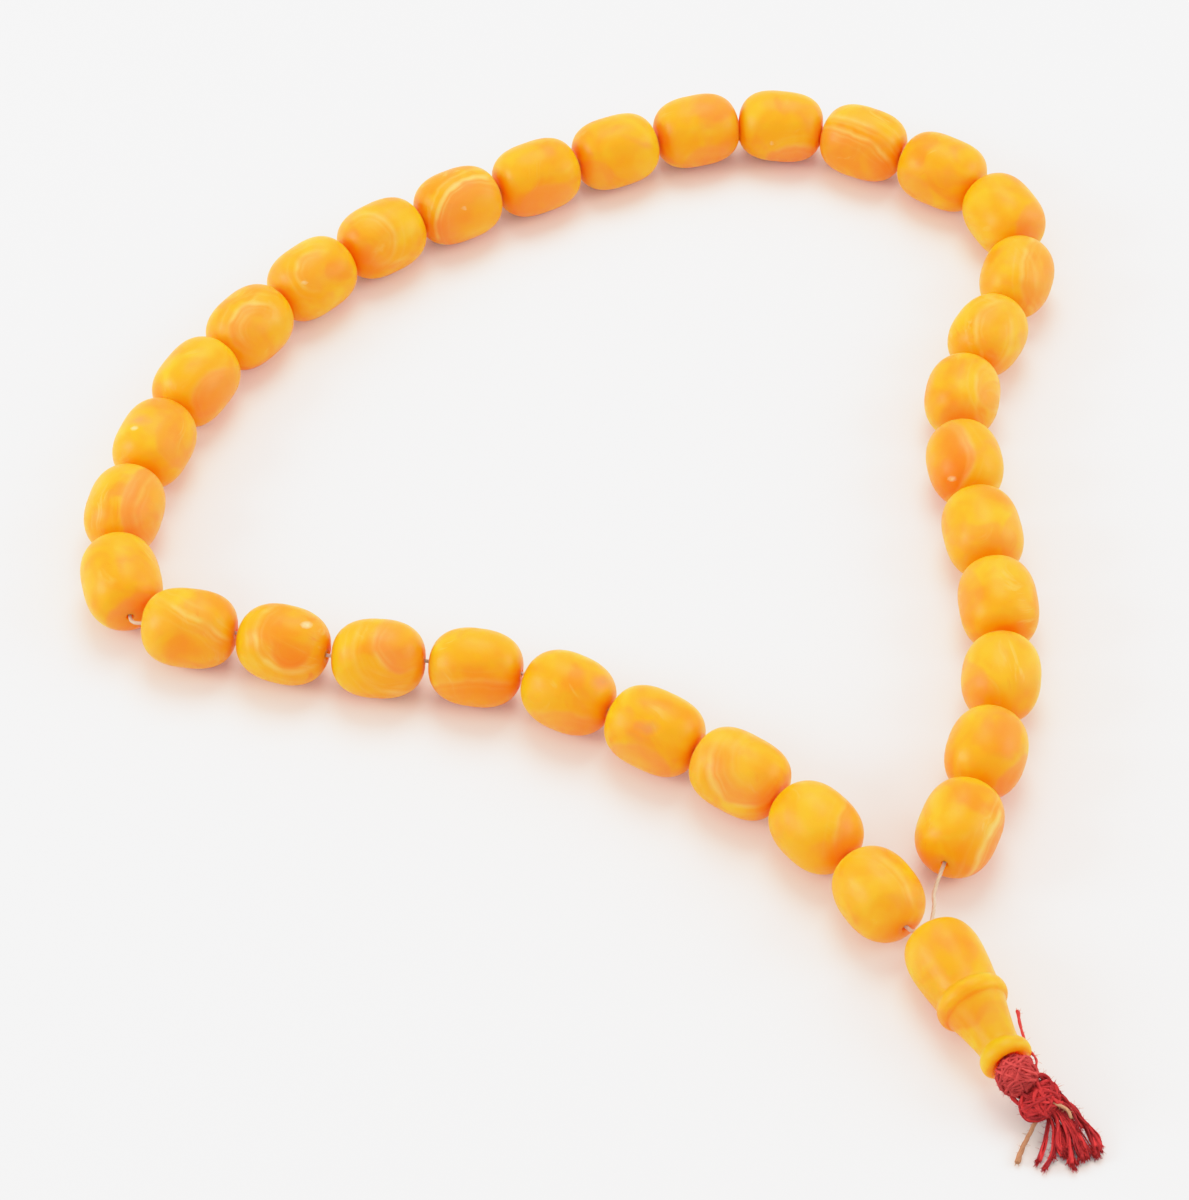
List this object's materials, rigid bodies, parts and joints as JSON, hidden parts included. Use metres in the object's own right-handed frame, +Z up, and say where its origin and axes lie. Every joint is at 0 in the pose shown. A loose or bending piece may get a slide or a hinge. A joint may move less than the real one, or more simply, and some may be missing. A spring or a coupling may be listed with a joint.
{
  "type": "misbaha prayer bead strand",
  "caption": "Prayer bead strand: drilled butterscotch resin barrel beads on one thread, closed by a turned leader bead with a small red tassel.",
  "frame": {"origin": "middle of the strand's footprint, on the surface it lies on", "axes": "+Z up; +Y along the strand's longest extent, away from the tassel; +X to the right seen from the tassel's end"},
  "size_m": [0.1516, 0.2096, 0.0118],
  "materials": {
    "amber_resin": "cast resin, marbled butterscotch yellow to deep orange, worn satin polish",
    "thread_fibre": "undyed twisted thread, matt",
    "crimson_yarn": "red dyed cotton yarn, fuzzy and matt"
  },
  "bodies": {
    "link_01": {"thread_01": "thread_fibre"},
    "link_02": {"thread_02": "thread_fibre"},
    "link_03": {"thread_03": "thread_fibre"},
    "link_04": {"thread_04": "thread_fibre"},
    "link_05": {"thread_05": "thread_fibre"},
    "link_06": {"thread_06": "thread_fibre"},
    "link_07": {"thread_07": "thread_fibre"},
    "link_08": {"thread_08": "thread_fibre"},
    "link_09": {"thread_09": "thread_fibre"},
    "link_10": {"thread_10": "thread_fibre"},
    "link_11": {"thread_11": "thread_fibre"},
    "link_12": {"thread_12": "thread_fibre"},
    "link_13": {"thread_13": "thread_fibre"},
    "link_14": {"thread_14": "thread_fibre"},
    "link_15": {"thread_15": "thread_fibre"},
    "link_16": {"thread_16": "thread_fibre"},
    "link_17": {"thread_17": "thread_fibre"},
    "bead_01": {"bead_01": "amber_resin"},
    "bead_02": {"bead_02": "amber_resin"},
    "bead_03": {"bead_03": "amber_resin"},
    "bead_04": {"bead_04": "amber_resin"},
    "bead_05": {"bead_05": "amber_resin"},
    "bead_06": {"bead_06": "amber_resin"},
    "bead_07": {"bead_07": "amber_resin"},
    "bead_08": {"bead_08": "amber_resin"},
    "bead_09": {"bead_09": "amber_resin"},
    "bead_10": {"bead_10": "amber_resin"},
    "bead_11": {"bead_11": "amber_resin"},
    "bead_12": {"bead_12": "amber_resin"},
    "bead_13": {"bead_13": "amber_resin"},
    "bead_14": {"bead_14": "amber_resin"},
    "bead_15": {"bead_15": "amber_resin"},
    "bead_16": {"bead_16": "amber_resin"},
    "bead_17": {"bead_17": "amber_resin"},
    "bead_18": {"bead_18": "amber_resin"},
    "bead_19": {"bead_19": "amber_resin"},
    "bead_20": {"bead_20": "amber_resin"},
    "bead_21": {"bead_21": "amber_resin"},
    "bead_22": {"bead_22": "amber_resin"},
    "bead_23": {"bead_23": "amber_resin"},
    "bead_24": {"bead_24": "amber_resin"},
    "bead_25": {"bead_25": "amber_resin"},
    "bead_26": {"bead_26": "amber_resin"},
    "bead_27": {"bead_27": "amber_resin"},
    "bead_28": {"bead_28": "amber_resin"},
    "bead_29": {"bead_29": "amber_resin"},
    "bead_30": {"bead_30": "amber_resin"},
    "bead_31": {"bead_31": "amber_resin"},
    "bead_32": {"bead_32": "amber_resin"},
    "bead_33": {"bead_33": "amber_resin"},
    "imame": {"imame": "amber_resin", "thread_pair": "thread_fibre", "stray_yarn_end": "crimson_yarn"},
    "tassel": {"tassel_round_knot": "crimson_yarn", "tassel_lower_knot": "crimson_yarn", "tassel_fringe": "crimson_yarn", "thread_tail": "thread_fibre", "thread_short_tail": "thread_fibre"}
  },
  "joints": [
    {"name": "flex_01", "type": "hinge", "parent": "link_01", "child": "link_02", "pos_m": [0.03793, -0.05592, 0.0059], "axis": [0, 0, 1], "range_deg": [-9, 9]},
    {"name": "flex_02", "type": "hinge", "parent": "link_02", "child": "link_03", "pos_m": [0.01692, -0.03645, 0.0059], "axis": [0, 0, 1], "range_deg": [-1.26, 1.26]},
    {"name": "flex_03", "type": "hinge", "parent": "link_03", "child": "link_04", "pos_m": [-0.00818, -0.02197, 0.0059], "axis": [0, 0, 1], "range_deg": [-3.28, 3.28]},
    {"name": "flex_04", "type": "hinge", "parent": "link_04", "child": "link_05", "pos_m": [-0.03691, -0.01851, 0.0059], "axis": [0, 0, 1], "range_deg": [-12.36, 12.36]},
    {"name": "flex_05", "type": "hinge", "parent": "link_05", "child": "link_06", "pos_m": [-0.0665, -0.012, 0.0059], "axis": [0, 0, 1], "range_deg": [-0.32, 0.32]},
    {"name": "flex_06", "type": "hinge", "parent": "link_06", "child": "link_07", "pos_m": [-0.06808, 0.0177, 0.0059], "axis": [0, 0, 1], "range_deg": [-1.87, 1.87]},
    {"name": "flex_07", "type": "hinge", "parent": "link_07", "child": "link_08", "pos_m": [-0.057, 0.04429, 0.0059], "axis": [0, 0, 1], "range_deg": [-3.33, 3.33]},
    {"name": "flex_08", "type": "hinge", "parent": "link_08", "child": "link_09", "pos_m": [-0.03832, 0.06628, 0.0059], "axis": [0, 0, 1], "range_deg": [-4.13, 4.13]},
    {"name": "flex_09", "type": "hinge", "parent": "link_09", "child": "link_10", "pos_m": [-0.014, 0.08177, 0.0059], "axis": [0, 0, 1], "range_deg": [-4.17, 4.17]},
    {"name": "flex_10", "type": "hinge", "parent": "link_10", "child": "link_11", "pos_m": [0.01204, 0.0943, 0.0059], "axis": [0, 0, 1], "range_deg": [-5.18, 5.18]},
    {"name": "flex_11", "type": "hinge", "parent": "link_11", "child": "link_12", "pos_m": [0.04018, 0.09657, 0.0059], "axis": [0, 0, 1], "range_deg": [-0.89, 0.89]},
    {"name": "flex_12", "type": "hinge", "parent": "link_12", "child": "link_13", "pos_m": [0.06557, 0.08244, 0.0059], "axis": [0, 0, 1], "range_deg": [-1.23, 1.23]},
    {"name": "flex_13", "type": "hinge", "parent": "link_13", "child": "link_14", "pos_m": [0.06773, 0.05442, 0.0059], "axis": [0, 0, 1], "range_deg": [-11.17, 11.17]},
    {"name": "flex_14", "type": "hinge", "parent": "link_14", "child": "link_15", "pos_m": [0.05799, 0.02758, 0.0059], "axis": [0, 0, 1], "range_deg": [-5.46, 5.46]},
    {"name": "flex_15", "type": "hinge", "parent": "link_15", "child": "link_16", "pos_m": [0.06153, -0.0011, 0.0059], "axis": [0, 0, 1], "range_deg": [-1.28, 1.28]},
    {"name": "flex_16", "type": "hinge", "parent": "link_16", "child": "link_17", "pos_m": [0.06043, -0.02983, 0.0059], "axis": [0, 0, 1], "range_deg": [-6.48, 6.48]},
    {"name": "imame_swing", "type": "hinge", "parent": "link_01", "child": "imame", "pos_m": [0.0483, -0.0682, 0.0054], "axis": [0, 0, 1], "range_deg": [-6, 34]},
    {"name": "tassel_swing", "type": "hinge", "parent": "imame", "child": "tassel", "pos_m": [0.05875, -0.09223, 0.0054], "axis": [0, 0, 1], "range_deg": [-30, 30]},
    {"name": "slide_bead_33", "type": "slide", "parent": "link_17", "child": "bead_33", "axis": [-0.367, -0.9302, 0], "range_m": [0, 0.0035]},
    {"name": "turn_bead_01", "type": "hinge", "parent": "link_01", "child": "bead_01", "pos_m": [0.04158, -0.06215, 0.0059], "axis": [-0.5051, 0.8631, 0], "continuous": true},
    {"name": "turn_bead_02", "type": "hinge", "parent": "link_02", "child": "bead_02", "pos_m": [0.03333, -0.05035, 0.0059], "axis": [-0.637, 0.7709, 0], "continuous": true},
    {"name": "turn_bead_03", "type": "hinge", "parent": "link_02", "child": "bead_03", "pos_m": [0.02282, -0.04061, 0.0059], "axis": [-0.8172, 0.5763, 0], "continuous": true},
    {"name": "turn_bead_04", "type": "hinge", "parent": "link_03", "child": "bead_04", "pos_m": [0.01072, -0.03273, 0.0059], "axis": [-0.8576, 0.5144, 0], "continuous": true},
    {"name": "turn_bead_05", "type": "hinge", "parent": "link_03", "child": "bead_05", "pos_m": [-0.00179, -0.02551, 0.0059], "axis": [-0.8744, 0.4852, 0], "continuous": true},
    {"name": "turn_bead_06", "type": "hinge", "parent": "link_04", "child": "bead_06", "pos_m": [-0.01537, -0.02073, 0.0059], "axis": [-0.9856, 0.1694, 0], "continuous": true},
    {"name": "turn_bead_07", "type": "hinge", "parent": "link_04", "child": "bead_07", "pos_m": [-0.0297, -0.01901, 0.0059], "axis": [-0.9976, 0.0694, 0], "continuous": true},
    {"name": "turn_bead_08", "type": "hinge", "parent": "link_05", "child": "bead_08", "pos_m": [-0.04378, -0.01629, 0.0059], "axis": [-0.9519, 0.3064, 0], "continuous": true},
    {"name": "turn_bead_09", "type": "hinge", "parent": "link_05", "child": "bead_09", "pos_m": [-0.05782, -0.01314, 0.0059], "axis": [-0.9915, 0.1302, 0], "continuous": true},
    {"name": "turn_bead_10", "type": "hinge", "parent": "link_06", "child": "bead_10", "pos_m": [-0.06871, -0.00353, 0.0059], "axis": [-0.2523, 0.9677, 0], "continuous": true},
    {"name": "turn_bead_11", "type": "hinge", "parent": "link_06", "child": "bead_11", "pos_m": [-0.0693, 0.01058, 0.0059], "axis": [0.1698, 0.9855, 0], "continuous": true},
    {"name": "turn_bead_12", "type": "hinge", "parent": "link_07", "child": "bead_12", "pos_m": [-0.06584, 0.02457, 0.0059], "axis": [0.3098, 0.9508, 0], "continuous": true},
    {"name": "turn_bead_13", "type": "hinge", "parent": "link_07", "child": "bead_13", "pos_m": [-0.0603, 0.03787, 0.0059], "axis": [0.4565, 0.8897, 0], "continuous": true},
    {"name": "turn_bead_14", "type": "hinge", "parent": "link_08", "child": "bead_14", "pos_m": [-0.05266, 0.05006, 0.0059], "axis": [0.6018, 0.7986, 0], "continuous": true},
    {"name": "turn_bead_15", "type": "hinge", "parent": "link_08", "child": "bead_15", "pos_m": [-0.04331, 0.06106, 0.0059], "axis": [0.6909, 0.723, 0], "continuous": true},
    {"name": "turn_bead_16", "type": "hinge", "parent": "link_09", "child": "bead_16", "pos_m": [-0.03249, 0.07055, 0.0059], "axis": [0.8068, 0.5908, 0], "continuous": true},
    {"name": "turn_bead_17", "type": "hinge", "parent": "link_09", "child": "bead_17", "pos_m": [-0.02033, 0.0783, 0.0059], "axis": [0.8766, 0.4813, 0], "continuous": true},
    {"name": "turn_bead_18", "type": "hinge", "parent": "link_10", "child": "bead_18", "pos_m": [-0.00756, 0.08505, 0.0059], "axis": [0.8909, 0.4542, 0], "continuous": true},
    {"name": "turn_bead_19", "type": "hinge", "parent": "link_10", "child": "bead_19", "pos_m": [0.00546, 0.09132, 0.0059], "axis": [0.9108, 0.4128, 0], "continuous": true},
    {"name": "turn_bead_20", "type": "hinge", "parent": "link_11", "child": "bead_20", "pos_m": [0.01895, 0.09641, 0.0059], "axis": [0.9564, 0.2921, 0], "continuous": true},
    {"name": "turn_bead_21", "type": "hinge", "parent": "link_11", "child": "bead_21", "pos_m": [0.03302, 0.09755, 0.0059], "axis": [0.9909, -0.1347, 0], "continuous": true},
    {"name": "turn_bead_22", "type": "hinge", "parent": "link_12", "child": "bead_22", "pos_m": [0.04666, 0.09339, 0.0059], "axis": [0.8975, -0.4411, 0], "continuous": true},
    {"name": "turn_bead_23", "type": "hinge", "parent": "link_12", "child": "bead_23", "pos_m": [0.05927, 0.08637, 0.0059], "axis": [0.8483, -0.5295, 0], "continuous": true},
    {"name": "turn_bead_24", "type": "hinge", "parent": "link_13", "child": "bead_24", "pos_m": [0.06871, 0.07571, 0.0059], "axis": [0.4223, -0.9065, 0], "continuous": true},
    {"name": "turn_bead_25", "type": "hinge", "parent": "link_13", "child": "bead_25", "pos_m": [0.06978, 0.06135, 0.0059], "axis": [-0.2832, -0.9591, 0], "continuous": true},
    {"name": "turn_bead_26", "type": "hinge", "parent": "link_14", "child": "bead_26", "pos_m": [0.06424, 0.04809, 0.0059], "axis": [-0.4831, -0.8755, 0], "continuous": true},
    {"name": "turn_bead_27", "type": "hinge", "parent": "link_14", "child": "bead_27", "pos_m": [0.05937, 0.03467, 0.0059], "axis": [-0.1908, -0.9816, 0], "continuous": true},
    {"name": "turn_bead_28", "type": "hinge", "parent": "link_15", "child": "bead_28", "pos_m": [0.05882, 0.0204, 0.0059], "axis": [0.1142, -0.9935, 0], "continuous": true},
    {"name": "turn_bead_29", "type": "hinge", "parent": "link_15", "child": "bead_29", "pos_m": [0.06059, 0.00606, 0.0059], "axis": [0.1305, -0.9915, 0], "continuous": true},
    {"name": "turn_bead_30", "type": "hinge", "parent": "link_16", "child": "bead_30", "pos_m": [0.062, -0.00831, 0.0059], "axis": [0.0646, -0.9979, 0], "continuous": true},
    {"name": "turn_bead_31", "type": "hinge", "parent": "link_16", "child": "bead_31", "pos_m": [0.06145, -0.02267, 0.0059], "axis": [-0.1405, -0.9901, 0], "continuous": true},
    {"name": "turn_bead_32", "type": "hinge", "parent": "link_17", "child": "bead_32", "pos_m": [0.05835, -0.03674, 0.0059], "axis": [-0.2884, -0.9575, 0], "continuous": true}
  ],
  "couplings": [
    {"joint": "flex_02", "follows": "flex_01", "ratio": 0.1371},
    {"joint": "flex_03", "follows": "flex_01", "ratio": -0.3621},
    {"joint": "flex_04", "follows": "flex_01", "ratio": -1.3709},
    {"joint": "flex_05", "follows": "flex_01", "ratio": -0.0323},
    {"joint": "flex_06", "follows": "flex_01", "ratio": -0.2048},
    {"joint": "flex_07", "follows": "flex_01", "ratio": 0.3672},
    {"joint": "flex_08", "follows": "flex_01", "ratio": 0.4564},
    {"joint": "flex_09", "follows": "flex_01", "ratio": 0.4604},
    {"joint": "flex_10", "follows": "flex_01", "ratio": 0.5726},
    {"joint": "flex_11", "follows": "flex_01", "ratio": 0.096},
    {"joint": "flex_12", "follows": "flex_01", "ratio": -0.1337},
    {"joint": "flex_13", "follows": "flex_01", "ratio": -1.2385},
    {"joint": "flex_14", "follows": "flex_01", "ratio": -0.6036},
    {"joint": "flex_15", "follows": "flex_01", "ratio": 0.1393},
    {"joint": "flex_16", "follows": "flex_01", "ratio": 0.7169}
  ]
}
